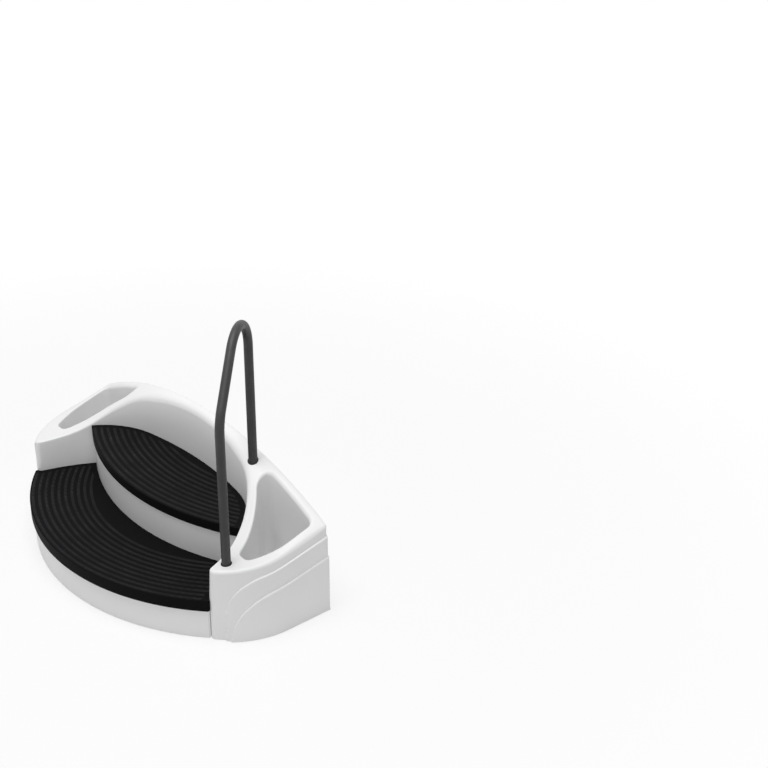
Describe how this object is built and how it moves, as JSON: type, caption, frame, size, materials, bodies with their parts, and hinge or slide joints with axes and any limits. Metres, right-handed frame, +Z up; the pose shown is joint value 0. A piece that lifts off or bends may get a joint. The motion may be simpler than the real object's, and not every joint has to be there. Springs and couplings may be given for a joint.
{
  "type": "spa steps",
  "caption": "Half-round spa steps with two ridged black treads between white planter pods, an arched back and a bent-tube handrail.",
  "frame": {"origin": "middle of the footprint, on the floor that the feet stand on", "axes": "+X along the width, to the right for someone climbing; +Y forward, towards the spa; +Z up"},
  "size_m": [1.65, 0.7699, 1.248],
  "materials": {
    "white_moulding": "satin",
    "black_tread": "satin",
    "grey_tube": "satin",
    "black_plastic": "matte",
    "black_rubber": "matte",
    "plated_steel": "brushed"
  },
  "bodies": {
    "steps": {"surround": "white_moulding", "lower_step": "white_moulding", "upper_step": "white_moulding", "lower_tread": "black_tread", "upper_tread": "black_tread", "front_rail_socket": "black_plastic", "back_rail_socket": "black_plastic", "front_rail_grommet": "black_rubber", "back_rail_grommet": "black_rubber", "foot_pads": "black_rubber", "right_pocket_drain_plug": "black_rubber", "left_pocket_drain_plug": "black_rubber", "lower_tread_screws": "plated_steel", "upper_tread_screws": "plated_steel", "upper_step_screws": "plated_steel", "joining_bolts": "plated_steel", "joining_washers": "plated_steel", "joining_nuts": "plated_steel"},
    "handrail": {"handrail": "grey_tube", "handrail_end_plugs": "black_plastic"}
  },
  "joints": [
    {"name": "handrail_lift", "type": "slide", "parent": "steps", "child": "handrail", "axis": [0, 0, 1], "range_m": [0, 0.15]}
  ]
}
